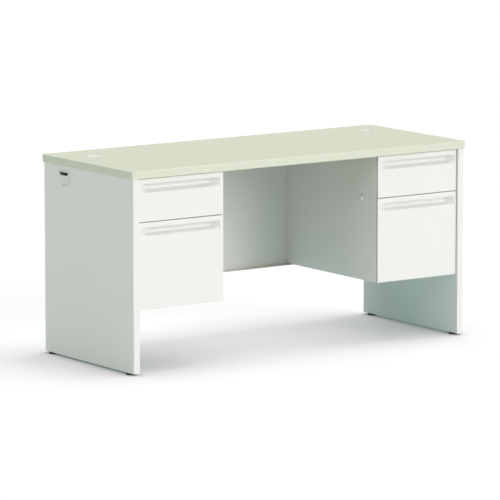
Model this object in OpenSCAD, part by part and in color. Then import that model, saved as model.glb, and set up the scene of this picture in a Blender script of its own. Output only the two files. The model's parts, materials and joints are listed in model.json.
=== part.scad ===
// Double-pedestal steel desk with a laminate worktop, 60 by 24 inches.
// Two box/file pedestals hang between the end panels, clear of the floor.
// +X is to the right, +Y to the back and +Z up. The origin is on the floor,
// below the centre of the worktop. Right-hand parts are drawn, left-hand
// parts are their mirror images.

/* [Desk] */
// Width of the worktop
desk_w = 1524; // [1372:1:1829]
// Depth of the worktop
desk_d = 609.6; // [598:0.1:762]
// Height of the working surface above the floor
desk_h = 749.3; // [735:0.1:780]
// Thickness of the sheet steel
sheet = 1.2; // [0.9:0.1:1.4]

/* [Worktop] */
// Thickness of the worktop with its laminate
top_t = 28.6; // [25:0.1:32]
// Thickness of the laminate
laminate_t = 1.2; // [0.8:0.1:1.5]
// Thickness of the edge band
band_t = 3; // [2.5:0.1:3.5]
// Corner radius of the worktop in plan
top_corner_r = 8; // [6:0.5:20]
// Radius of the edge band's rounded arrises
arris_r = 2; // [1:0.1:2.4]

/* [End panels] */
// Thickness of an end panel
end_t = 27; // [25:0.5:32]
// Overhang of the worktop past an end panel's outer face
side_reveal = 6.5; // [3:0.5:12]
// Overhang of the worktop past an end panel's front edge
front_reveal = 3.4; // [2:0.1:8]
// Overhang of the worktop past an end panel's back edge
back_reveal = 5.2; // [4:0.1:10]
// Gap between the floor and an end panel
floor_gap = 7; // [7:0.5:12]
// Radius of the fold round an end panel's outer edges
fold_r = 3.5; // [2:0.5:6]

/* [Pedestals] */
// Width of a pedestal, from its kneespace face to the end panel
ped_w = 375.3; // [330:0.1:400]
// Height of a pedestal's bottom above the floor
ped_z0 = 237.5; // [234:0.1:250]
// Set-back of the drawer fronts behind the end panels' front edges
front_setback = 8.3; // [4:0.1:12]
// Thickness of a drawer front
front_t = 24; // [23:0.5:28]
// Height of a box drawer's front
box_front_h = 156.8; // [150:0.1:160]
// Gap between the two drawer fronts
front_gap = 3.2; // [2.5:0.1:4]
// Gap beside and above the drawer fronts
front_clear = 1.5; // [1.2:0.1:2]
// Thickness of the lip that a front laps over its pedestal's side panel
front_lip_t = 3; // [2.6:0.1:4]
// Gap between that lip and the side panel's front edge
lip_gap = 5.5; // [3:0.5:8]
// Length of a drawer's steel body
tub_len = 369; // [340:1:372]
// Travel of a drawer
drawer_travel = 350; // [250:1:352]

/* [Pulls] */
// Width of a pull's opening
pull_w = 344; // [240:1:346]
// Height of a pull's opening
pull_h = 33; // [30:1:36]
// Depth of a pull behind the face of the drawer front
pull_depth = 20; // [16:0.5:20.5]
// Distance from the top of a front to its pull's opening
pull_drop = 19; // [14:1:24]

/* [Modesty panel] */
// Height of the modesty panel's bottom edge above the floor
modesty_z0 = 233.6; // [200:0.1:234]
// Depth of the flange along its bottom edge
modesty_flange = 30; // [16:1:40]

/* [Cords] */
// Distance of the grommets' and ports' centres from the worktop's back edge
wire_inset = 145; // [125:1:150]
// Distance of a grommet's centre from the worktop's end
grommet_inset = 130; // [110:1:160]
// Radius of a grommet's flange
grommet_flange_r = 40; // [38:1:44]
// Radius of a cord port's round lower half
port_r = 38; // [36:1:42]

/* [Lock] */
// Distance of a lock behind the face of the drawer fronts
lock_back = 105; // [70:1:120]
// Radius of a lock's bezel
lock_bezel_r = 13; // [12.5:0.5:14]

/* [Hidden] */
$fn = 64;

// Heights and edges of the frame
top_under = desk_h - top_t;
end_out = desk_w / 2 - side_reveal;
end_in = end_out - end_t;
end_mid = (end_out + end_in) / 2;
end_y0 = -desk_d / 2 + front_reveal;
end_y1 = desk_d / 2 - back_reveal;
modesty_y = end_y1 - sheet;
knee_x = end_in - ped_w;
wire_y = desk_d / 2 - wire_inset;
seam = 0.1;

// Pedestal case: the space between the side panel and the shell's end wall
front_y = end_y0 + front_setback;
tub_y0 = front_y + front_t;
tub_y1 = tub_y0 + tub_len;
case_x0 = knee_x + sheet;
case_x1 = end_in - sheet;
case_y0 = tub_y0 + 1.1;
case_y1 = tub_y0 + 379.1;
side_y0 = front_y + front_lip_t + lip_gap;
flange_w = 20;
hem_w = 12;

// Drawer fronts
front_x0 = case_x0 + sheet + front_clear;
front_x1 = end_in - front_clear;
lip_x0 = knee_x + 0.3;
front_mid = (front_x0 + front_x1) / 2;
box_z1 = top_under - 1 - front_clear;
box_z0 = box_z1 - box_front_h;
file_z1 = box_z0 - front_gap;
file_z0 = ped_z0 + 0.8;
front_sheet = 1;
front_r = 1.2;
liner_t = 1.2;

// Drawer bodies and their slides
slide_t = 12.7;
slide_h = 45;
tub_x0 = case_x0 + slide_t;
tub_x1 = case_x1 - slide_t;
tub_sheet = 1;
rim = 3;
box_tub = [box_z0 + 18.6, box_z1 - 18.2];
file_tub = [ped_z0 + 12.8, box_z0 - 46.4];
box_slide_z = box_z0 + 58.6;
file_slide_z = ped_z0 + 160.8;
slide_y0 = tub_y0 + 3;
slide_y1 = tub_y1 - 2;
rail_zs = [[box_z0 - 16.4, box_z0 + 3.6], [box_z1 - 15.2, top_under - 1.2]];

// Pull
pull_wall = 1.5;
pull_lip = 8;
pull_ramp = 34;
pull_rise = 12;
pull_under = 4;
pull_corner = 7;

// Lock: plug, barrel and the bar that its pin lifts
lock_y = front_y + lock_back;
lock_z = box_z0 - 8.4;
barrel_r = 9.5;
plug_r = 7;
run_fit = 0.05;
barrel_x1 = knee_x + 12.8;
crank_r = 6;
crank_pin_r = 2;
bar_x = barrel_x1 + 2.2;
bar_t = 2;
bar_lift = 2 * crank_r * sin(45);
stud_dy = 14;
stud_r = 2.5;

// Grommets and ports
grommet_x = desk_w / 2 - grommet_inset;
sleeve_r = 33;
sleeve_bore_r = 31;
flange_t = 0.8;
cap_r = sleeve_bore_r - 0.3;
notch = [20, 12];
port_z = top_under - 20.1;
port_straight = 18;
port_rim = 3;
release_slot = [28, 2];
slot_h = 12;
slot_top_w = 62;
slot_low_w = 46;

// Feet and fasteners
foot_x = end_mid;
foot_ys = [end_y0 + 39.4, end_y1 - 39.4];
foot_r = 19;
foot_h = 6;
thread_r = 5;
nut_h = 8;
screw_r = 2.25;
screw_head_r = 4.5;
screw_head_h = 2.6;
screw_fit = 0.1;
side_screw_ys = [case_y0 + 40, 20, modesty_y - 45];
modesty_screw_xs = [-180, 0, 180];
modesty_side_zs = [modesty_z0 + 70, modesty_z0 + 240, top_under - 60];
rail_screw_xs = [-240, 240];
shell_screws = [[case_y0 + 90, ped_z0 + 60], [case_y0 + 90, box_z1 - 40],
                [case_y1 - 60, ped_z0 + 60], [case_y1 - 60, box_z1 - 40]];
knee_rail_y = 60;
knee_rail_w = 50;
knee_rail_h = 28;

steel_colour = [0.93, 0.92, 0.90];
edge_colour = [0.88, 0.90, 0.80];
laminate_colour = [0.84, 0.87, 0.78];
board_colour = [0.72, 0.60, 0.44];
plastic_colour = [0.90, 0.90, 0.87];
zinc_colour = [0.72, 0.73, 0.75];
chrome_colour = [0.80, 0.81, 0.83];
black_colour = [0.10, 0.10, 0.11];

// ---- Shared shapes ----

// A box between two opposite corners
module span(lo, hi) {
    translate(lo) cube(hi - lo);
}

// What follows, on the left-hand side
module left() {
    mirror([1, 0, 0]) children();
}

// What follows, on both sides
module both_sides() {
    children();
    left() children();
}

// A flat outline in Y and Z, thickened along X from x0 to x1
module along_x(x0, x1) {
    translate([x0, 0, 0]) rotate([90, 0, 90]) linear_extrude(x1 - x0) children();
}

// A flat outline in X and Z, thickened along Y from y0 to y1
module along_y(y0, y1) {
    translate([0, y1, 0]) rotate([90, 0, 0]) linear_extrude(y1 - y0) children();
}

// A flat outline in X and Y, thickened from z0 to z1
module along_z(z0, z1) {
    translate([0, 0, z0]) linear_extrude(z1 - z0) children();
}

// A rectangle between two corners, with all four corners rounded
module rounded(lo, hi, r) {
    translate([lo[0] + r, lo[1]]) square([hi[0] - lo[0] - 2 * r, hi[1] - lo[1]]);
    translate([lo[0], lo[1] + r]) square([hi[0] - lo[0], hi[1] - lo[1] - 2 * r]);
    for (x = [lo[0] + r, hi[0] - r], y = [lo[1] + r, hi[1] - r])
        translate([x, y]) circle(r);
}

// A rectangle between two corners
module plain(lo, hi) {
    translate(lo) square(hi - lo);
}

// A pan-head screw whose head sits below z = 0 and whose shank points up
module screw(length) {
    difference() {
        union() {
            cylinder(h = length - 4, r = screw_r);
            translate([0, 0, length - 4]) cylinder(h = 4, r1 = screw_r, r2 = 0.6);
            translate([0, 0, -screw_head_h]) cylinder(h = screw_head_h, r = screw_head_r);
        }
        for (turn = [0, 90])
            rotate([0, 0, turn]) span([-2.5, -0.5, -screw_head_h - 1], [2.5, 0.5, -screw_head_h + 1.2]);
    }
}

// ---- Worktop ----

module worktop_outline(inset) {
    half = [desk_w / 2 - inset, desk_d / 2 - inset];
    rounded(-half, half, top_corner_r - inset);
}

module grommet_holes(r) {
    both_sides() translate([grommet_x, wire_y]) circle(r);
}

// Every place where a screw enters the worktop from below
module at_worktop_screws() {
    for (y = side_screw_ys) both_sides() translate([knee_x + flange_w / 2 + 2, y, 0]) children();
    for (x = modesty_screw_xs) translate([x, modesty_y - flange_w / 2, 0]) children();
    for (x = rail_screw_xs, dy = [-1, 1])
        translate([x, knee_rail_y + dy * (knee_rail_w / 2 + 9), 0]) children();
}

module worktop_board() {
    color(board_colour) difference() {
        along_z(top_under, desk_h - laminate_t) difference() {
            worktop_outline(band_t);
            grommet_holes(sleeve_r + 0.2);
        }
        at_worktop_screws() translate([0, 0, top_under - 1]) cylinder(h = 20, r = screw_r + screw_fit);
    }
}

module worktop_laminate() {
    color(laminate_colour) along_z(desk_h - laminate_t, desk_h) difference() {
        worktop_outline(band_t);
        grommet_holes(grommet_flange_r + 0.2);
    }
}

// Section of the edge band, its outer face at x = out
module band_section(out) {
    intersection() {
        rounded([out - 2 * band_t, top_under], [out, desk_h], arris_r);
        plain([out - band_t, top_under], [out, desk_h]);
    }
}

module band_length(out, half_run) {
    along_y(-half_run, half_run) band_section(out);
}

module worktop_edge_band() {
    run_x = desk_w / 2 - top_corner_r;
    run_y = desk_d / 2 - top_corner_r;
    color(edge_colour) {
        for (turn = [0, 180]) {
            rotate([0, 0, turn]) band_length(desk_w / 2, run_y);
            rotate([0, 0, turn + 90]) band_length(desk_d / 2, run_x);
        }
        for (sx = [0, 1], sy = [0, 1])
            mirror([sx, 0, 0]) mirror([0, sy, 0]) translate([run_x, run_y, 0])
                rotate_extrude(angle = 90) band_section(top_corner_r);
    }
}

// ---- Grommets ----

module grommet_sleeve() {
    translate([grommet_x, wire_y, desk_h]) rotate_extrude() polygon([
        [sleeve_bore_r, -26], [sleeve_r, -26], [sleeve_r, -laminate_t],
        [grommet_flange_r, -laminate_t], [grommet_flange_r, 0.2],
        [grommet_flange_r - 0.6, flange_t - 0.1], [grommet_flange_r - 2, flange_t],
        [sleeve_bore_r, flange_t],
        [sleeve_bore_r, -5.3], [sleeve_bore_r - 2.5, -5.3], [sleeve_bore_r - 2.5, -7.3],
        [sleeve_bore_r, -9.8]
    ]);
}

module grommet_sleeves() {
    color(plastic_colour) both_sides() grommet_sleeve();
}

// A cap with two opposite cord notches in its rim
module grommet_cap(x) {
    color(plastic_colour) translate([x, wire_y, desk_h]) difference() {
        rotate_extrude() polygon([
            [0, -1.2], [cap_r - 2.3, -1.2], [cap_r - 2.3, -5], [cap_r - 0.4, -5],
            [cap_r - 0.4, -1.2], [cap_r, -1.2], [cap_r, 0.2], [cap_r - 0.4, 0.6], [0, 0.6]
        ]);
        along_z(-6, 3) for (s = [-1, 1]) scale([s, 1]) {
            translate([cap_r - notch[1] + notch[0] / 2, 0]) circle(notch[0] / 2);
            plain([cap_r - notch[1] + notch[0] / 2, -notch[0] / 2], [cap_r + 3, notch[0] / 2]);
        }
    }
}

// ---- End panels ----

// Plan of an end panel, rounded at its two outer edges
module end_plan(inset) {
    r = fold_r - inset;
    lo = [end_in - 1, end_y0 + inset];
    hi = [end_out - inset, end_y1 - inset];
    plain(lo, hi - [r, 0]);
    plain(lo + [0, r], hi - [0, r]);
    for (y = [lo[1] + r, hi[1] - r]) translate([hi[0] - r, y]) circle(r);
}

// Outline of a cord port, grown by g: straight-sided on top, half round below
module port_outline(g) {
    r = port_r + g;
    translate([wire_y, port_z - port_straight]) {
        intersection() {
            circle(r);
            plain([-r, -r], [r, 0]);
        }
        plain([-r, -0.1], [r, port_straight + g]);
    }
}

module end_outer_skin() {
    color(steel_colour) difference() {
        along_z(floor_gap, top_under) end_plan(0);
        along_z(floor_gap + sheet, top_under - sheet) end_plan(sheet);
        span([end_in - 2, end_y0 - 1, floor_gap - 1], [end_in, end_y1 + 1, top_under + 1]);
        along_x(end_out - 5, end_out + 1) port_outline(0.2);
        for (y = foot_ys) translate([foot_x, y, floor_gap - 1]) cylinder(h = 3, r = thread_r + 1);
    }
}

module end_inner_panel() {
    color(steel_colour) difference() {
        span([end_in, end_y0 + sheet + seam, floor_gap + sheet + seam],
             [end_in + sheet, end_y1 - sheet - seam, top_under - sheet - seam]);
        along_x(end_in - 1, end_in + sheet + 1) port_outline(0.2);
        at_shell_screws() cylinder(h = 6, r = screw_r + screw_fit, center = true);
        at_modesty_side_screws() cylinder(h = 6, r = screw_r + screw_fit, center = true);
    }
}

// Two upright channels inside each end panel, above the feet
module end_panel_channels() {
    x0 = end_in + sheet + seam;
    x1 = end_out - sheet - seam;
    z0 = floor_gap + sheet + seam;
    z1 = top_under - sheet - seam;
    color(steel_colour) both_sides() for (y = foot_ys) difference() {
        span([x0, y - 20, z0], [x1, y + 20, z1]);
        span([x0 - 1, y - 18.5, z0 - 1], [x1 - 1.5, y + 18.5, z1 + 1]);
    }
}

// The slot through a port, wider on top
module port_slot() {
    top = port_z - 4;
    polygon([[wire_y - slot_top_w / 2, top], [wire_y - slot_low_w / 2, top - slot_h],
             [wire_y + slot_low_w / 2, top - slot_h], [wire_y + slot_top_w / 2, top]]);
}

// A thin slot at the port's lowest point, to spring the insert out with
module port_release_slot() {
    z0 = port_z - port_straight - port_r + 2.2;
    plain([wire_y - release_slot[0] / 2, z0], [wire_y + release_slot[0] / 2, z0 + release_slot[1]]);
}

module cord_port_insert() {
    difference() {
        union() {
            along_x(end_out, end_out + 1.2) port_outline(port_rim);
            along_x(end_in - 1.2, end_out + 2) port_outline(0);
        }
        along_x(end_in - 2, end_out - 1) port_outline(-1.8);
        along_x(end_out - 2, end_out + 3) {
            port_slot();
            port_release_slot();
        }
    }
}

module cord_port_inserts() {
    color(plastic_colour) both_sides() cord_port_insert();
}

// ---- Modesty panel and kneespace rail ----

module modesty_panel() {
    color(steel_colour) difference() {
        union() {
            span([-end_in, modesty_y, modesty_z0], [end_in, end_y1, top_under]);
            span([-end_in + 2, modesty_y - modesty_flange, modesty_z0],
                 [end_in - 2, modesty_y, modesty_z0 + sheet]);
            span([-end_in, modesty_y - flange_w, top_under - sheet], [end_in, modesty_y, top_under]);
            both_sides() span([end_in - sheet, modesty_y - flange_w, modesty_z0 + 30],
                              [end_in, modesty_y, top_under]);
        }
        both_sides() span([knee_x - 2, modesty_y - flange_w - 1, top_under - sheet - 1],
                          [knee_x + flange_w + 5, modesty_y, top_under + 1]);
        for (x = modesty_screw_xs)
            translate([x, modesty_y - flange_w / 2, top_under - 3])
                cylinder(h = 6, r = screw_r + screw_fit);
        both_sides() at_modesty_side_screws()
            cylinder(h = 6, r = screw_r + screw_fit, center = true);
    }
}

// A hat-section stiffener across the kneespace, flanges up
module kneespace_rail() {
    y0 = knee_rail_y - knee_rail_w / 2;
    y1 = knee_rail_y + knee_rail_w / 2;
    z0 = top_under - knee_rail_h;
    color(steel_colour) difference() {
        union() {
            span([-knee_x, y0, z0], [knee_x, y1, z0 + sheet]);
            for (y = [y0, y1 - sheet]) span([-knee_x, y, z0], [knee_x, y + sheet, top_under]);
            span([-knee_x, y0 - 18, top_under - sheet], [knee_x, y0 + sheet, top_under]);
            span([-knee_x, y1 - sheet, top_under - sheet], [knee_x, y1 + 18, top_under]);
        }
        for (x = rail_screw_xs, dy = [-1, 1])
            translate([x, knee_rail_y + dy * (knee_rail_w / 2 + 9), top_under - 3])
                cylinder(h = 6, r = screw_r + screw_fit);
    }
}

// ---- Pedestal cases ----

// The kneespace side of a pedestal, from its front to the modesty panel
module pedestal_side() {
    color(steel_colour) difference() {
        union() {
            span([knee_x, side_y0, ped_z0], [case_x0, modesty_y, top_under]);
            span([case_x0, side_y0, ped_z0], [case_x0 + sheet, side_y0 + hem_w, top_under]);
            span([knee_x, case_y0, top_under - sheet], [knee_x + flange_w, modesty_y, top_under]);
            span([knee_x, case_y0, ped_z0], [knee_x + flange_w, modesty_y, ped_z0 + sheet]);
            span([knee_x, modesty_y - sheet, ped_z0], [knee_x + 14, modesty_y, top_under]);
        }
        translate([knee_x - 1, lock_y, lock_z]) rotate([0, 90, 0]) cylinder(h = 5, r = barrel_r + 0.1);
        for (y = side_screw_ys)
            translate([knee_x + flange_w / 2 + 2, y, top_under - 3])
                cylinder(h = 6, r = screw_r + screw_fit);
    }
}

// Bottom, end wall and back wall of a pedestal in one folded sheet
module pedestal_shell() {
    z0 = ped_z0 + sheet;
    z1 = top_under - sheet - 0.3;
    color(steel_colour) difference() {
        union() {
            span([case_x0, case_y0, z0], [end_in, case_y1, z0 + sheet]);
            span([case_x1, case_y0, z0], [end_in, case_y1, z1]);
            span([case_x0, case_y1 - sheet, z0], [end_in, case_y1, z1]);
        }
        at_shell_screws() cylinder(h = 6, r = screw_r + screw_fit, center = true);
    }
}

// Channels across a pedestal, one behind the gap between the fronts, one on top
module pedestal_front_rails() {
    color(steel_colour) both_sides() for (zs = rail_zs) difference() {
        span([case_x0, case_y0, zs[0]], [case_x1, case_y0 + 18, zs[1]]);
        span([case_x0 - 1, case_y0 + sheet, zs[0] + sheet], [case_x1 + 1, case_y0 + 19, zs[1] - sheet]);
    }
}

// ---- Slides ----

// A channel section between depths d0 and d1 from the wall, open at one side
module channel_section(d0, d1, half_h, t, open_out) {
    shift = open_out ? t : -1;
    difference() {
        plain([d0, -half_h], [d1, half_h]);
        plain([d0 + shift, -half_h + t], [d1 + (open_out ? 1 : -t), half_h - t]);
    }
}

// What follows is a section in depth from the wall and height; it is run along
// both walls of a pedestal at height z
module slide_runs(z, y0, y1) {
    translate([case_x0, 0, z]) along_y(y0, y1) children();
    translate([case_x1, 0, z]) along_y(y0, y1) mirror([1, 0]) children();
}

module slide_case_members() {
    color(zinc_colour) both_sides() for (z = [box_slide_z, file_slide_z])
        slide_runs(z, slide_y0, slide_y1) channel_section(0, 9.5, slide_h / 2, 1.2, true);
}

// The middle member, which travels half as far as the drawer
module slide_runner(z) {
    color(zinc_colour) slide_runs(z, slide_y0, slide_y1)
        channel_section(3, 11, slide_h / 2 - 3.7, 1.2, true);
}

// The member that is fixed to the drawer
module slide_drawer_member(z) {
    color(zinc_colour) slide_runs(z, slide_y0, slide_y1)
        channel_section(6, slide_t, 15, 1.2, false);
}

// ---- Drawers ----

module pull_at(z1) {
    translate([front_mid, front_y, z1 - pull_drop - pull_h]) children();
}

// Opening of a pull in the face of the front
module pull_opening() {
    along_y(-1, front_sheet) rounded([-pull_w / 2, 0], [pull_w / 2, pull_h], pull_corner);
}

// The hollow of a pull from y0 to y1, or with a wall its outside: a sloping
// floor, sloping ends and a finger space up behind the front
module pull_hollow(wall, y0, y1) {
    mouth = front_sheet + pull_wall;
    run = pull_depth - pull_wall - mouth;
    side = pull_ramp / run;
    floor = pull_rise / run;
    x0 = pull_w / 2 + wall * sqrt(1 + side * side) - side * (y0 - mouth);
    x1 = x0 - side * (y1 - y0);
    z0 = floor * (y0 - mouth) - wall * sqrt(1 + floor * floor);
    z1 = z0 + floor * (y1 - y0);
    top = pull_h + pull_under + wall;
    intersection() {
        along_x(-pull_w, pull_w) polygon([[y0, z0], [y1, z1], [y1, top], [y0, top]]);
        along_z(-pull_h, 2 * pull_h) polygon([[-x0, y0], [x0, y0], [x1, y1], [-x1, y1]]);
    }
}

module drawer_pull(z1) {
    mouth = front_sheet + pull_wall;
    color(steel_colour) pull_at(z1) difference() {
        union() {
            span([-pull_w / 2 - pull_lip, front_sheet, -pull_lip],
                 [pull_w / 2 + pull_lip, mouth, pull_h + pull_lip]);
            pull_hollow(pull_wall, front_sheet, pull_depth);
        }
        pull_hollow(0, mouth, pull_depth - pull_wall);
        along_y(0, mouth + 0.1) rounded([-pull_w / 2, 0], [pull_w / 2, pull_h], pull_corner);
    }
}

// Folded steel face of a drawer front, with its lip on the kneespace side
module drawer_front(z0, z1) {
    color(steel_colour) difference() {
        along_z(z0, z1) {
            rounded([front_x0, front_y], [front_x1, tub_y0 - front_r], front_r);
            plain([front_x0, tub_y0 - 3 * front_r], [front_x1, tub_y0]);
            rounded([lip_x0, front_y], [front_x0 + 4 * front_r, front_y + front_lip_t], front_r);
        }
        span([front_x0 + front_sheet, front_y + front_sheet, z0 + front_sheet],
             [front_x1 - front_sheet, tub_y0 + 1, z1 - front_sheet]);
        pull_at(z1) pull_opening();
    }
}

// Flat plate that closes the back of a drawer front
module drawer_liner(z0, z1) {
    margin = front_sheet + seam;
    color(steel_colour) span([front_x0 + margin, tub_y0 - liner_t, z0 + margin],
                             [front_x1 - margin, tub_y0, z1 - margin]);
}

// Steel body of a drawer, with a folded rim
module drawer_tub(zs) {
    lo = [tub_x0, tub_y0, zs[0]];
    hi = [tub_x1, tub_y1, zs[1]];
    color(steel_colour) difference() {
        span(lo, hi);
        span(lo + [1, 1, 1] * tub_sheet, [tub_x1 - tub_sheet, tub_y1 - tub_sheet, zs[1] - rim]);
        span(lo + [rim, rim, rim], [tub_x1 - rim, tub_y1 - rim, zs[1] + 1]);
    }
}

// Two rails along a file drawer that letter-size folders hang from
module hang_rails() {
    mid = (tub_x0 + tub_x1) / 2;
    z1 = file_tub[1] + 4;
    color(zinc_colour) for (x = [mid - 162, mid + 160]) {
        span([x, tub_y0 + tub_sheet + seam, z1 - 18], [x + 2, tub_y1 - tub_sheet - seam, z1 - 8]);
        for (y = [tub_y0 + rim + seam, tub_y1 - rim - 2 - seam])
            span([x, y, z1 - 12], [x + 2, y + 2, z1]);
        span([x, tub_y0 + seam, z1 - 3.5], [x + 2, tub_y0 + rim + seam + 1, z1]);
        span([x, tub_y1 - rim - seam - 1, z1 - 3.5], [x + 2, tub_y1 - seam, z1]);
    }
}

// ---- Locks ----

// What follows is drawn along +Z and laid along +X on a lock's axis
module on_lock_axis(x) {
    translate([x, lock_y, lock_z]) rotate([0, 90, 0]) children();
}

// A slot with round ends in Y and Z, centred at y and z
module round_slot(y, z, dy, dz, r) {
    rounded([y - dy - r, z - dz - r], [y + dy + r, z + dz + r], r);
}

module lock_barrel() {
    difference() {
        union() {
            on_lock_axis(knee_x - 2) cylinder(h = 0.8, r1 = lock_bezel_r - 0.8, r2 = lock_bezel_r);
            on_lock_axis(knee_x - 1.2) cylinder(h = 1.2, r = lock_bezel_r);
            on_lock_axis(knee_x - 0.1) cylinder(h = barrel_x1 - knee_x + 0.1, r = barrel_r);
        }
        on_lock_axis(knee_x - 3) cylinder(h = 20, r = plug_r + run_fit);
    }
    difference() {
        on_lock_axis(case_x0) cylinder(h = 4, r = lock_bezel_r, $fn = 6);
        on_lock_axis(case_x0 - 1) cylinder(h = 6, r = barrel_r + run_fit);
    }
    for (dy = [-stud_dy, stud_dy]) translate([0, dy, -2]) {
        on_lock_axis(case_x0) cylinder(h = bar_x + bar_t + 0.4 - case_x0, r = stud_r);
        on_lock_axis(bar_x + bar_t + 0.4) cylinder(h = 1.2, r = stud_r + 1.6);
    }
}

module lock_barrels() {
    color(chrome_colour) both_sides() lock_barrel();
}

// The plug turns in the barrel; its crank pin stands in the bar's slot
module lock_plug() {
    color(chrome_colour) difference() {
        union() {
            on_lock_axis(knee_x - 2.4) cylinder(h = barrel_x1 + 0.4 - knee_x + 2.4, r = plug_r);
            on_lock_axis(barrel_x1 + 0.3) cylinder(h = 1.3, r = crank_r + crank_pin_r + 0.6);
            translate([0, crank_r * cos(45), -crank_r * sin(45)])
                on_lock_axis(barrel_x1 + 1.5) cylinder(h = 4, r = crank_pin_r);
        }
        span([knee_x - 3, lock_y - 0.9, lock_z - 4], [knee_x + 1, lock_y + 0.9, lock_z + 4]);
    }
}

// A flat bar with one slot for the pin, two for its studs, and a finger at each
// end that stands in the space beside the drawers
module lock_bar() {
    pin_y = lock_y + crank_r * (1 + cos(45)) / 2;
    pin_z = lock_z - crank_r * sin(45);
    slot_z = lock_z - 2 - bar_lift / 2;
    z0 = lock_z - 26;
    z1 = lock_z + 11;
    finger_x = knee_x + 8;
    color(zinc_colour) {
        along_x(bar_x, bar_x + bar_t) difference() {
            plain([lock_y - 21, z0], [lock_y + 21, z1]);
            round_slot(pin_y, pin_z, 1.2, 0.01, crank_pin_r + 0.4);
            for (dy = [-stud_dy, stud_dy])
                round_slot(lock_y + dy, slot_z, 0.01, bar_lift / 2 + 0.3, stud_r + 0.3);
        }
        span([finger_x, lock_y + 15, z1 - 2], [bar_x + 0.5, lock_y + 21, z1]);
        span([finger_x, lock_y + 15, z1 - 2], [finger_x + 2, lock_y + 21, z1 + 7]);
        span([finger_x, lock_y + 15, z0], [bar_x + 0.5, lock_y + 21, z0 + 2]);
        span([finger_x, lock_y + 15, z0 - 20], [finger_x + 2, lock_y + 21, z0 + 2]);
    }
}

// ---- Feet ----

module glide(y) {
    color(black_colour) translate([foot_x, y, 0]) rotate_extrude() polygon([
        [0, 0], [foot_r - 1.5, 0], [foot_r, 1.5], [foot_r, 4], [foot_r - 2, foot_h],
        [thread_r - run_fit, foot_h], [thread_r - run_fit, 44], [3.9, 45], [0, 45]
    ]);
}

module glide_nuts() {
    color(zinc_colour) both_sides() for (y = foot_ys)
        translate([foot_x, y, floor_gap + sheet]) difference() {
            cylinder(h = nut_h, r = 9.8, $fn = 6);
            translate([0, 0, -1]) cylinder(h = nut_h + 2, r = thread_r);
        }
}

// ---- Screws ----

module worktop_screws() {
    color(zinc_colour) at_worktop_screws() translate([0, 0, top_under - sheet]) screw(18);
}

// What follows is drawn along +Z and laid along +X through the shell's end wall
module at_shell_screws() {
    for (p = shell_screws) translate([case_x1, p[0], p[1]]) rotate([0, 90, 0]) children();
}

module at_modesty_side_screws() {
    for (z = modesty_side_zs)
        translate([case_x1, modesty_y - flange_w / 2, z]) rotate([0, 90, 0]) children();
}

module pedestal_screws() {
    color(zinc_colour) both_sides() at_shell_screws() screw(12);
}

module modesty_screws() {
    color(zinc_colour) both_sides() at_modesty_side_screws() screw(12);
}

// ---- Nodes ----

worktop_board();
worktop_laminate();
worktop_edge_band();
grommet_sleeves();
grommet_cap(-grommet_x);  // left_grommet_cap
grommet_cap(grommet_x);  // right_grommet_cap
left() end_outer_skin();  // left_end_outer_skin
left() end_inner_panel();  // left_end_inner_panel
end_outer_skin();  // right_end_outer_skin
end_inner_panel();  // right_end_inner_panel
end_panel_channels();
cord_port_inserts();
modesty_panel();
kneespace_rail();
left() pedestal_side();  // left_pedestal_side
left() pedestal_shell();  // left_pedestal_shell
pedestal_side();  // right_pedestal_side
pedestal_shell();  // right_pedestal_shell
pedestal_front_rails();
slide_case_members();
left() slide_runner(box_slide_z);  // left_box_runner
left() slide_runner(file_slide_z);  // left_file_runner
slide_runner(box_slide_z);  // right_box_runner
slide_runner(file_slide_z);  // right_file_runner
left() slide_drawer_member(box_slide_z);  // left_box_slide
left() slide_drawer_member(file_slide_z);  // left_file_slide
slide_drawer_member(box_slide_z);  // right_box_slide
slide_drawer_member(file_slide_z);  // right_file_slide
left() drawer_front(box_z0, box_z1);  // left_box_front
left() drawer_front(file_z0, file_z1);  // left_file_front
drawer_front(box_z0, box_z1);  // right_box_front
drawer_front(file_z0, file_z1);  // right_file_front
left() drawer_liner(box_z0, box_z1);  // left_box_liner
left() drawer_liner(file_z0, file_z1);  // left_file_liner
drawer_liner(box_z0, box_z1);  // right_box_liner
drawer_liner(file_z0, file_z1);  // right_file_liner
left() drawer_tub(box_tub);  // left_box_tub
left() drawer_tub(file_tub);  // left_file_tub
drawer_tub(box_tub);  // right_box_tub
drawer_tub(file_tub);  // right_file_tub
left() drawer_pull(box_z1);  // left_box_pull
left() drawer_pull(file_z1);  // left_file_pull
drawer_pull(box_z1);  // right_box_pull
drawer_pull(file_z1);  // right_file_pull
left() hang_rails();  // left_hang_rails
hang_rails();  // right_hang_rails
lock_barrels();
left() lock_plug();  // left_lock_plug
lock_plug();  // right_lock_plug
left() lock_bar();  // left_lock_bar
lock_bar();  // right_lock_bar
left() glide(foot_ys[0]);  // front_left_glide
glide(foot_ys[0]);  // front_right_glide
left() glide(foot_ys[1]);  // back_left_glide
glide(foot_ys[1]);  // back_right_glide
glide_nuts();
worktop_screws();
pedestal_screws();
modesty_screws();
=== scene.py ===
import json
import math

import bmesh
import bpy
from mathutils import Matrix, Vector


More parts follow.
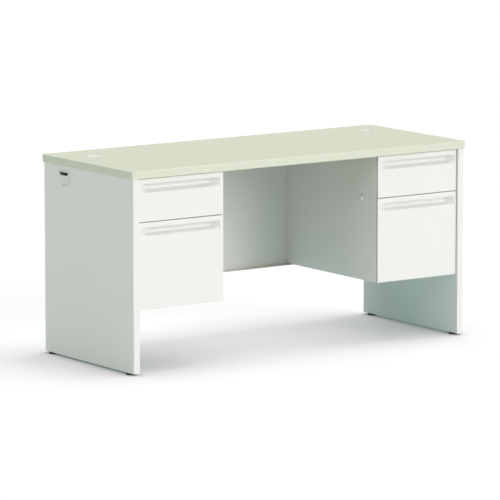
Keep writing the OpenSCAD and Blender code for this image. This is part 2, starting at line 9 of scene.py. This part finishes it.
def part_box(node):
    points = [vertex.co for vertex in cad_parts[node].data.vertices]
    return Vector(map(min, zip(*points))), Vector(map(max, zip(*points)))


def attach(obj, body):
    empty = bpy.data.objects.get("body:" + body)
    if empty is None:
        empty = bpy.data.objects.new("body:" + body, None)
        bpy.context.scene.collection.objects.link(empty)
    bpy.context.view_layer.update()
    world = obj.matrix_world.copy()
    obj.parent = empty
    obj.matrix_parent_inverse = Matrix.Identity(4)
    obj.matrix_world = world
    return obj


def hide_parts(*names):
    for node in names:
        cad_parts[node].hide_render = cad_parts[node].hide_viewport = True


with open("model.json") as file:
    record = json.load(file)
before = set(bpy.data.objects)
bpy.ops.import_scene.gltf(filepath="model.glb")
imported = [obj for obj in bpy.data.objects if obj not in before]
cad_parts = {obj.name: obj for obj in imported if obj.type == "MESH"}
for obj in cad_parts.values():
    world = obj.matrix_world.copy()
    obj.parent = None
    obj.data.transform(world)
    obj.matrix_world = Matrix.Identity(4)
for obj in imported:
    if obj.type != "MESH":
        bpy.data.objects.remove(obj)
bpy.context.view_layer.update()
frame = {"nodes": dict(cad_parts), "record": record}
NODES = frame["nodes"]
SUBPARTS = frame["record"]["subparts"]
JOINTS = {joint["name"]: joint for joint in frame["record"]["behaviour"]["joints"]}
SIDES = {"left": -1, "right": 1}
DRAWERS = ("box", "file")
MM = 0.001


# ---- Shared helpers ----

def add_object(name, data):
    """A new object that holds this data, in the scene."""
    made = bpy.data.objects.new(name, data)
    bpy.context.collection.objects.link(made)
    return made


def mix_sockets(node):
    """The factor, both inputs and the result of a colour Mix node."""
    used = [socket for socket in node.inputs if socket.enabled]
    factor, first, second = [socket for socket in used if socket.name in ("Factor", "A", "B")]
    return factor, first, second, next(socket for socket in node.outputs if socket.enabled)


# ---- Camera: from the front left and a little above, with a long lens ----

LENS = 303.57
SENSOR_WIDTH = 36
CLIP_START = 0.1
CLIP_END = 200
YAW = math.radians(35.01)
PITCH = math.radians(8.92)
DISTANCE = 15.934
AIM = Vector((0, 0, 0.375))
AIM_RIGHT = -0.0236
AIM_UP = -0.0167


def add_camera():
    data = bpy.data.cameras.new("view_camera")
    data.lens = LENS
    data.sensor_width = SENSOR_WIDTH
    data.clip_start = CLIP_START
    data.clip_end = CLIP_END
    camera = add_object("view_camera", data)
    look = Vector((math.sin(YAW) * math.cos(PITCH), math.cos(YAW) * math.cos(PITCH), -math.sin(PITCH)))
    right = Vector((math.cos(YAW), -math.sin(YAW), 0))
    up = right.cross(look)
    camera.location = AIM + right * AIM_RIGHT + up * AIM_UP - look * DISTANCE
    camera.rotation_mode = "QUATERNION"
    camera.rotation_quaternion = look.to_track_quat("-Z", "Y")
    bpy.context.scene.camera = camera


# ---- Light ----

# Soft light boxes: azimuth from the front towards the right and elevation, in
# degrees, and how much light each gives a surface that faces it
LIGHT_BOXES = {
    "key": (30, 15, (0.511, 0.442, 0.441)),
    "front_fill": (15, 15, (0.205, 0.208, 0.204)),
    "right_fill": (90, 60, (0.440, 0.445, 0.449)),
    "left_fill": (-90, 15, (0.230, 0.218, 0.196)),
    "left_front_fill": (-45, 35, (0.097, 0.089, 0.084)),
    "back_fill": (180, 45, (0.20, 0.20, 0.20)),
    "overhead": (0, 88, (0.163, 0.169, 0.171)),
}
BOX_ANGLE = math.radians(40)
# The sky is a faint light, but shows white behind the floor's far edge
SKY_STRENGTH = 0.08
BACKDROP_STRENGTH = 1.0


def add_light_box(name, azimuth, elevation, share):
    data = bpy.data.lights.new(name, "SUN")
    # A sun of energy pi gives a facing white surface a brightness of 1
    data.energy = math.pi
    data.color = share
    data.angle = BOX_ANGLE
    box = add_object(name, data)
    turn, rise = math.radians(azimuth), math.radians(elevation)
    towards = Vector((math.sin(turn) * math.cos(rise), -math.cos(turn) * math.cos(rise), math.sin(rise)))
    box.rotation_mode = "QUATERNION"
    box.rotation_quaternion = towards.to_track_quat("Z", "Y")


def add_sky():
    world = bpy.data.worlds.new("studio")
    world.use_nodes = True
    bpy.context.scene.world = world
    tree = world.node_tree
    sky = tree.nodes["Background"]
    sky.inputs["Color"].default_value = (1, 1, 1, 1)
    rays = tree.nodes.new("ShaderNodeLightPath")
    strength = tree.nodes.new("ShaderNodeMath")
    strength.operation = "MULTIPLY_ADD"
    is_seen, extra, base = strength.inputs
    extra.default_value = BACKDROP_STRENGTH - SKY_STRENGTH
    base.default_value = SKY_STRENGTH
    tree.links.new(rays.outputs["Is Camera Ray"], is_seen)
    tree.links.new(strength.outputs["Value"], sky.inputs["Strength"])


def add_lights():
    bpy.context.scene.view_settings.view_transform = "Standard"
    for name, (azimuth, elevation, share) in LIGHT_BOXES.items():
        add_light_box(name, azimuth, elevation, share)
    add_sky()


# ---- Floor ----

FLOOR_SIZE = 400
FLOOR_ALBEDO = 0.50
FLOOR_ROUGHNESS = 0.9
# Glow that is seen and mirrored, and glow that lights the object from below
FLOOR_GLOW = (0.498, 0.498, 0.503)
FLOOR_BOUNCE = (0.064, 0.202, 0.190)
# Painted shade in the floor's seen glow: dark in the gap under an edge, and gentler near the object
CONTACT_REACH = 0.04
SHADE_REACH = 0.35
SHADE_SHARE = 0.7


def floor_material():
    """White paper: seen and mirrored at full brightness, but with less bounced light. Its seen glow
    carries painted shade under and near the object.
    """
    material = bpy.data.materials.new("studio_floor")
    material.use_nodes = True
    tree = material.node_tree
    shader = tree.nodes["Principled BSDF"]
    shader.inputs["Base Color"].default_value = (FLOOR_ALBEDO, FLOOR_ALBEDO, FLOOR_ALBEDO, 1)
    shader.inputs["Roughness"].default_value = FLOOR_ROUGHNESS
    shader.inputs["Specular IOR Level"].default_value = 0
    shader.inputs["Emission Strength"].default_value = 1

    # Painted shadow: the glow is darkened in the gap under an edge and more gently near the object
    contact_shade = tree.nodes.new("ShaderNodeAmbientOcclusion")
    contact_shade.inputs["Color"].default_value = (*FLOOR_GLOW, 1)
    contact_shade.inputs["Distance"].default_value = CONTACT_REACH
    nearby_shade = tree.nodes.new("ShaderNodeAmbientOcclusion")
    nearby_shade.inputs["Distance"].default_value = SHADE_REACH
    shaded = tree.nodes.new("ShaderNodeMix")
    shaded.data_type = "RGBA"
    shaded.blend_type = "MULTIPLY"
    share, first, second, shaded_glow = mix_sockets(shaded)
    share.default_value = SHADE_SHARE
    tree.links.new(contact_shade.outputs["Color"], first)
    tree.links.new(nearby_shade.outputs["Color"], second)

    rays = tree.nodes.new("ShaderNodeLightPath")
    direct = tree.nodes.new("ShaderNodeMath")
    direct.operation = "MAXIMUM"
    tree.links.new(rays.outputs["Is Camera Ray"], direct.inputs[0])
    tree.links.new(rays.outputs["Is Glossy Ray"], direct.inputs[1])
    glow = tree.nodes.new("ShaderNodeMix")
    glow.data_type = "RGBA"
    is_direct, bounced, seen, emitted = mix_sockets(glow)
    bounced.default_value = (*FLOOR_BOUNCE, 1)
    tree.links.new(shaded_glow, seen)
    tree.links.new(direct.outputs["Value"], is_direct)
    tree.links.new(emitted, shader.inputs["Emission Color"])
    return material


def add_floor():
    mesh = bpy.data.meshes.new("studio_floor")
    half = FLOOR_SIZE / 2
    corners = [(-half, -half, 0), (half, -half, 0), (half, half, 0), (-half, half, 0)]
    mesh.from_pydata(corners, [], [(0, 1, 2, 3)])
    mesh.materials.append(floor_material())
    floor = add_object("studio_floor", mesh)


# ---- Material helpers ----

# Where most of a noise pattern's values lie
NOISE_LOW = 0.3
NOISE_HIGH = 0.7


def shade(colour, factor):
    return tuple(channel * factor for channel in colour)


class Look:
    """A procedural material, built on one Principled shader."""

    def __init__(self, name, metallic=0.0, specular=0.5, coat=0.0, coat_roughness=0.1):
        self.material = bpy.data.materials.new(name)
        self.material.use_nodes = True
        self.tree = self.material.node_tree
        self.shader = self.tree.nodes["Principled BSDF"]
        self.shader.inputs["Metallic"].default_value = metallic
        self.shader.inputs["Specular IOR Level"].default_value = specular
        self.shader.inputs["Coat Weight"].default_value = coat
        self.shader.inputs["Coat Roughness"].default_value = coat_roughness
        self.place = self.node("ShaderNodeTexCoord").outputs["Object"]
        self.bump_from = None

    def node(self, kind, **settings):
        made = self.tree.nodes.new(kind)
        for key, value in settings.items():
            setattr(made, key, value)
        return made

    def link(self, source, target):
        self.tree.links.new(source, target)

    def stretched(self, scale):
        """Object coordinates, scaled by a factor for each axis."""
        mapping = self.node("ShaderNodeMapping")
        mapping.inputs["Scale"].default_value = scale
        self.link(self.place, mapping.inputs["Vector"])
        return mapping.outputs["Vector"]

    def noise(self, size, detail=2.0, roughness=0.5, place=None):
        """Noise whose features measure about size, in metres."""
        made = self.node("ShaderNodeTexNoise")
        made.inputs["Scale"].default_value = 1 / size
        made.inputs["Detail"].default_value = detail
        made.inputs["Roughness"].default_value = roughness
        self.link(place or self.place, made.inputs["Vector"])
        return made.outputs["Fac"]

    def cells(self, size, place=None):
        """A pattern of cells that measure about size, in metres."""
        made = self.node("ShaderNodeTexVoronoi")
        made.inputs["Scale"].default_value = 1 / size
        self.link(place or self.place, made.inputs["Vector"])
        return made

    def ramp(self, source, stops):
        """Colours or grey values along a 0 to 1 source: stops are (position, value)."""
        made = self.node("ShaderNodeValToRGB")
        elements = made.color_ramp.elements
        while len(elements) < len(stops):
            elements.new(0.5)
        for element, (position, value) in zip(elements, stops):
            element.position = position
            element.color = (*value, 1) if isinstance(value, tuple) else (value, value, value, 1)
        self.link(source, made.inputs["Fac"])
        return made.outputs["Color"]

    def tint(self, source, colour, darkest, lightest, low=NOISE_LOW, high=NOISE_HIGH):
        """Shades of one colour: the factors at the low and the high end of a source."""
        return self.ramp(source, [(low, shade(colour, darkest)), (high, shade(colour, lightest))])

    def mix(self, amount, first, second):
        """Two colour patterns, with a fixed amount of the second."""
        factor, under, over, result = mix_sockets(self.node("ShaderNodeMix", data_type="RGBA"))
        factor.default_value = amount
        self.link(first, under)
        self.link(second, over)
        return result

    def colour(self, source):
        self.link(source, self.shader.inputs["Base Color"])

    def rough(self, source, smooth, dull):
        """Roughness that goes from smooth to dull across a noise source."""
        varied = self.ramp(source, [(NOISE_LOW, smooth), (NOISE_HIGH, dull)])
        self.link(varied, self.shader.inputs["Roughness"])

    def bump(self, height, depth, strength):
        """Adds a bump of a real depth in metres, on top of the ones before it."""
        made = self.node("ShaderNodeBump")
        made.inputs["Strength"].default_value = strength
        made.inputs["Distance"].default_value = depth
        self.link(height, made.inputs["Height"])
        if self.bump_from is not None:
            self.link(self.bump_from, made.inputs["Normal"])
        self.bump_from = made.outputs["Normal"]
        self.link(self.bump_from, self.shader.inputs["Normal"])


# ---- Materials: sizes and depths in metres, colours in linear light ----

STEEL = (0.845, 0.840, 0.815)
# Pull dishes: a darker, less red copy of the steel enamel, painted shade for the recess
PULL = (0.803, 0.815, 0.787)
GREEN = (0.735, 0.790, 0.630)
# Edge band: a darker copy of the laminate colour, painted shade so its brightly lit edges look less
# bright
BAND_SHADED = (0.700, 0.733, 0.605)
GROMMET = (0.745, 0.785, 0.67)
GROMMET_CAP = (0.91, 0.92, 0.85)
PORT = (0.80, 0.80, 0.78)
GLIDE = (0.022, 0.022, 0.024)
SLIDE_ZINC = (0.62, 0.64, 0.66)
HARDWARE_ZINC = (0.58, 0.60, 0.62)
CHROME_HAZY = (0.80, 0.81, 0.82)
CHROME_BRIGHT = (0.87, 0.87, 0.87)
CHIP_TONES = [(0.0, (0.28, 0.17, 0.08)), (0.45, (0.50, 0.36, 0.20)), (1.0, (0.68, 0.54, 0.34))]


def enamel(name, colour):
    """Baked enamel on sheet steel: orange peel, faint cloudiness, fine dust."""
    look = Look(name, coat=0.12, coat_roughness=0.25)
    cloud = look.tint(look.noise(0.35, detail=3), colour, 0.985, 1.01)
    grain = look.noise(0.004, detail=4, roughness=0.7)
    dust = look.tint(grain, colour, 0.97, 1.02, low=0.35, high=0.65)
    look.colour(look.mix(0.25, cloud, dust))
    look.rough(look.noise(0.09, detail=4), smooth=0.36, dull=0.46)
    orange_peel = look.noise(0.0016, detail=1)
    look.bump(orange_peel, depth=0.000025, strength=0.6)
    sheet_waves = look.noise(0.12, detail=1)
    look.bump(sheet_waves, depth=0.0003, strength=0.25)
    return look.material


def laminate(name, colour, fleck_share=0.16):
    """Pressed laminate: fine mottle, tiny flecks and a shallow suede texture."""
    look = Look(name, specular=0.4)
    mottle = look.tint(look.noise(0.03, detail=4), colour, 0.985, 1.012)
    fleck = look.tint(look.cells(0.0026).outputs["Color"], colour, 0.90, 1.05, low=0.0, high=1.0)
    look.colour(look.mix(fleck_share, mottle, fleck))
    look.rough(look.noise(0.006, detail=3), smooth=0.42, dull=0.56)
    suede = look.noise(0.0009, detail=2, roughness=0.7)
    look.bump(suede, depth=0.00003, strength=0.7)
    return look.material


def board(name):
    """Particleboard: pressed wood chips of mixed tone."""
    look = Look(name, specular=0.2)
    long_chips = look.cells(0.006, look.stretched((0.35, 1, 1)))
    short_chips = look.cells(0.0028)
    first = look.ramp(long_chips.outputs["Color"], CHIP_TONES)
    second = look.ramp(short_chips.outputs["Color"], CHIP_TONES)
    look.colour(look.mix(0.5, first, second))
    look.rough(look.noise(0.01), smooth=0.75, dull=0.9)
    look.bump(long_chips.outputs["Distance"], depth=0.0004, strength=0.6)
    return look.material


def moulded(name, colour, smooth=0.38, dull=0.5):
    """Injection-moulded plastic with a fine spark-eroded grain."""
    look = Look(name, specular=0.45)
    look.colour(look.tint(look.noise(0.02, detail=4), colour, 0.97, 1.02))
    look.rough(look.noise(0.003, detail=3), smooth, dull)
    grain = look.noise(0.0006, detail=2, roughness=0.8)
    look.bump(grain, depth=0.00003, strength=0.8)
    return look.material


def zinc(name, colour):
    """Zinc-plated steel drawn along its length, with faint spangle."""
    look = Look(name, metallic=1.0)
    streak = look.noise(0.0012, detail=2, place=look.stretched((1, 0.02, 1)))
    spangle = look.tint(look.cells(0.012).outputs["Color"], colour, 0.8, 1.1, low=0.0, high=1.0)
    look.colour(look.mix(0.2, look.tint(streak, colour, 0.88, 1.08), spangle))
    look.rough(streak, smooth=0.26, dull=0.42)
    look.bump(streak, depth=0.00002, strength=0.5)
    return look.material


def chrome(name):
    """Polished plating with a slight haze."""
    look = Look(name, metallic=1.0)
    haze = look.noise(0.004, detail=3)
    look.colour(look.ramp(haze, [(NOISE_LOW, CHROME_HAZY), (NOISE_HIGH, CHROME_BRIGHT)]))
    look.rough(haze, smooth=0.08, dull=0.18)
    look.bump(look.noise(0.0015, detail=2), depth=0.00001, strength=0.5)
    return look.material


MATERIALS = {
    "steel_enamel": enamel("steel_enamel", STEEL),
    "pull_enamel": enamel("pull_enamel", PULL),
    "laminate": laminate("laminate", GREEN),
    "edge_band": laminate("edge_band", BAND_SHADED, fleck_share=0.08),
    "board": board("board"),
    "grommet_plastic": moulded("grommet_plastic", GROMMET),
    "grommet_cap": moulded("grommet_cap", GROMMET_CAP),
    "port_plastic": moulded("port_plastic", PORT),
    "glide_black": moulded("glide_black", GLIDE, smooth=0.45, dull=0.6),
    "lock_chrome": chrome("lock_chrome"),
    "slide_zinc": zinc("slide_zinc", SLIDE_ZINC),
    "hardware_zinc": zinc("hardware_zinc", HARDWARE_ZINC),
}


# ---- CAD nodes that stay: real materials, and softened edges ----

# Nodes with a look of their own within their slot
NODE_LOOKS = {"left_grommet_cap": "grommet_cap", "right_grommet_cap": "grommet_cap"}
# How far each slot's sharp edges are rounded
EDGE_RADII = {
    "steel_enamel": 0.5 * MM,
    "grommet_plastic": 0.35 * MM,
    "port_plastic": 0.5 * MM,
    "lock_chrome": 0.25 * MM,
    "slide_zinc": 0.3 * MM,
    "hardware_zinc": 0.2 * MM,
    "glide_black": 0.4 * MM,
}
EDGE_SEGMENTS = 2
SHARP_ANGLE = math.radians(40)
WELD_REACH = 0.00001


def soften(piece, radius):
    """Welds a CAD mesh's split corners and rounds its sharp edges a little."""
    weld = piece.modifiers.new("weld", "WELD")
    weld.merge_threshold = WELD_REACH
    bevel = piece.modifiers.new("round_edges", "BEVEL")
    bevel.width = radius
    bevel.segments = EDGE_SEGMENTS
    bevel.limit_method = "ANGLE"
    bevel.angle_limit = SHARP_ANGLE
    bevel.harden_normals = True


def dress_cad_nodes():
    for part in SUBPARTS:
        node, slot = part["node"], part["material_slot"]
        piece = NODES[node]
        for holder in piece.material_slots:
            holder.link = "OBJECT"
            holder.material = MATERIALS[NODE_LOOKS.get(node, slot)]
        if slot in EDGE_RADII:
            soften(piece, EDGE_RADII[slot])


# ---- Drawer pulls: pressed dishes in place of the CAD ones ----

# The flat rim, which is wider below the dish, and the gap at each end of the rim
PULL_LIP = 8 * MM
PULL_FOOT = 9.5 * MM
PULL_GAP = 0.9 * MM
# How long the sloping ends, the sloping floor and the roof are, across the front
PULL_RAMP = 34 * MM
PULL_RISE = 11 * MM
PULL_ROOF = 5.5 * MM
PULL_SHEET = 1.2 * MM
# How much of a slope each of its bends takes up
FILLET = 0.16
ROOF_FILLET = 0.45
RAMP_STEPS = 18


def ease(t, blend):
    """A ramp from 0 to 1 whose two bends are rounded over a share of its length."""
    if t <= -blend:
        return 0.0
    if t < blend:
        return (t + blend) ** 2 / (4 * blend)
    if t <= 1 - blend:
        return t
    if t < 1 + blend:
        return 1 - (1 + blend - t) ** 2 / (4 * blend)
    return 1.0


def ramp_stops(start, end, blend):
    """Places across a ramp and its rounded bends, close enough to look smooth."""
    shares = [-blend + (1 + 2 * blend) * step / RAMP_STEPS for step in range(RAMP_STEPS + 1)]
    return [start + (end - start) * share for share in shares]


def grid_mesh(name, columns, rows, point):
    """A smooth sheet through point(u, v) for every column u and row v."""
    mesh = bpy.data.meshes.new(name)
    points = [point(u, v) for v in rows for u in columns]
    width = len(columns)
    quads = [(r * width + c, r * width + c + 1, (r + 1) * width + c + 1, (r + 1) * width + c)
             for r in range(len(rows) - 1) for c in range(width - 1)]
    mesh.from_pydata(points, [], quads)
    mesh.polygons.foreach_set("use_smooth", [True] * len(quads))
    return add_object(name, mesh)


def add_pull(side, drawer):
    """A long dish with a sloping floor, sloping ends and finger room behind the front."""
    node = f"{side}_{drawer}_pull"
    low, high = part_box(node)
    middle = (low.x + high.x) / 2
    half = (high.x - low.x) / 2 - PULL_LIP
    bottom, top = low.z + PULL_FOOT, high.z - PULL_LIP + PULL_ROOF
    depth = high.y - low.y - PULL_SHEET
    roof_rise = PULL_ROOF - 2 * PULL_SHEET

    def surface(x, z):
        ends = ease((half - abs(x)) / PULL_RAMP, FILLET)
        floor = ease((z - bottom) / PULL_RISE, FILLET)
        roof = ease((top - z) / roof_rise, ROOF_FILLET)
        return (middle + x, low.y + depth * ends * floor * roof, z)

    right_ramp = ramp_stops(half - PULL_RAMP, half, FILLET)
    end = half + PULL_LIP - PULL_GAP
    columns = [-end] + [-x for x in reversed(right_ramp)] + right_ramp + [end]
    floor_rows = ramp_stops(bottom, bottom + PULL_RISE, FILLET)
    roof_rows = ramp_stops(top - roof_rise, top, ROOF_FILLET)
    rows = [low.z] + floor_rows + roof_rows + [high.z]
    dish = grid_mesh(f"{node}_dish", columns, rows, surface)
    shell = dish.modifiers.new("sheet", "SOLIDIFY")
    shell.thickness = PULL_SHEET
    shell.offset = -1
    # Painted shade: the dish takes the darker, less red copy of the steel enamel
    dish.data.materials.append(MATERIALS["pull_enamel"])
    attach(dish, f"{side}_{drawer}_drawer")
    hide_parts(node)


# ---- Lock faces: a domed bezel and key plug over the plain CAD ones ----

LOCK_SEGMENTS = 72
SEAM_REACH = 1e-7
# Radius and height above the panel, in mm
BEZEL_PROFILE = [(7.3, 0.1), (13.15, 0.1), (13.15, 0.6), (12.95, 1.4), (12.3, 2.2), (11.3, 2.8),
                 (10.1, 3.05), (8.9, 2.9), (7.9, 2.5), (7.3, 2.1), (7.3, 0.1)]
PLUG_PROFILE = [(0, 1.2), (6.9, 1.2), (6.9, 2.4), (6.7, 2.8), (6.1, 3.3), (5, 3.85),
                (3.5, 4.3), (1.8, 4.55), (0, 4.6)]
# The key slot: its size, and the height of its middle above the panel
KEYWAY = Vector((4, 1.8, 8)) * MM
KEYWAY_HEIGHT = 3 * MM
# How far the CAD plug stands out of the panel
PLUG_PROUD = 2.4 * MM


def finished_mesh(piece):
    """A piece's mesh with its modifiers applied."""
    seen = piece.evaluated_get(bpy.context.evaluated_depsgraph_get())
    return bpy.data.meshes.new_from_object(seen)


def smooth_except_edges(mesh):
    """Smooth shading that stops at sharp edges."""
    mesh.polygons.foreach_set("use_smooth", [True] * len(mesh.polygons))
    mesh.set_sharp_from_angle(angle=SHARP_ANGLE)


def lathe(name, profile, centre, outward):
    """A closed turned solid on an axis along X, from pairs of radius and height."""
    solid = bmesh.new()
    rings = []
    for radius, height in profile:
        ring = []
        for step in range(LOCK_SEGMENTS if radius else 1):
            turn = 2 * math.pi * step / LOCK_SEGMENTS
            spoke = Vector((outward * height, radius * math.cos(turn), radius * math.sin(turn)))
            ring.append(solid.verts.new(centre + MM * spoke))
        rings.append(ring)
    for near, far in zip(rings, rings[1:]):
        for step in range(LOCK_SEGMENTS):
            after = step + 1
            corners = [near[step % len(near)], near[after % len(near)],
                       far[after % len(far)], far[step % len(far)]]
            # A ring of one point gives the same corner twice, so a triangle
            solid.faces.new(list(dict.fromkeys(corners)))
    bmesh.ops.remove_doubles(solid, verts=solid.verts, dist=SEAM_REACH)
    bmesh.ops.recalc_face_normals(solid, faces=solid.faces)
    mesh = bpy.data.meshes.new(name)
    solid.to_mesh(mesh)
    solid.free()
    return add_object(name, mesh)


def cut_box(piece, middle, size):
    """Cuts a box out of a solid, in the solid's own mesh."""
    box = bmesh.new()
    bmesh.ops.create_cube(box, size=1, matrix=Matrix.LocRotScale(middle, None, size))
    mesh = bpy.data.meshes.new("cutter")
    box.to_mesh(mesh)
    box.free()
    cutter = add_object("cutter", mesh)
    cut = piece.modifiers.new("cut", "BOOLEAN")
    cut.operation = "DIFFERENCE"
    cut.object = cutter
    finished = finished_mesh(piece)
    piece.modifiers.remove(cut)
    bpy.data.objects.remove(cutter)
    piece.data = finished


def add_lock_face(side):
    """The bezel on the pedestal's side panel, and the plug's face, which turns in it."""
    low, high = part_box(f"{side}_lock_plug")
    outward = -SIDES[side]
    front = high.x if outward > 0 else low.x
    _, axis_y, axis_z = JOINTS[f"{side}_lock_turn"]["pos_m"]
    centre = Vector((front - outward * PLUG_PROUD, axis_y, axis_z))
    bezel = lathe(f"{side}_lock_bezel", BEZEL_PROFILE, centre, outward)
    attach(bezel, "desk_frame")
    plug = lathe(f"{side}_lock_plug_face", PLUG_PROFILE, centre, outward)
    cut_box(plug, centre + Vector((outward * KEYWAY_HEIGHT, 0, 0)), KEYWAY)
    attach(plug, f"{side}_plug")
    for piece in (bezel, plug):
        smooth_except_edges(piece.data)
        piece.data.materials.append(MATERIALS["lock_chrome"])


add_camera()
add_lights()
add_floor()
dress_cad_nodes()
for side in SIDES:
    add_lock_face(side)
for side in SIDES:
    for drawer in DRAWERS:
        add_pull(side, drawer)
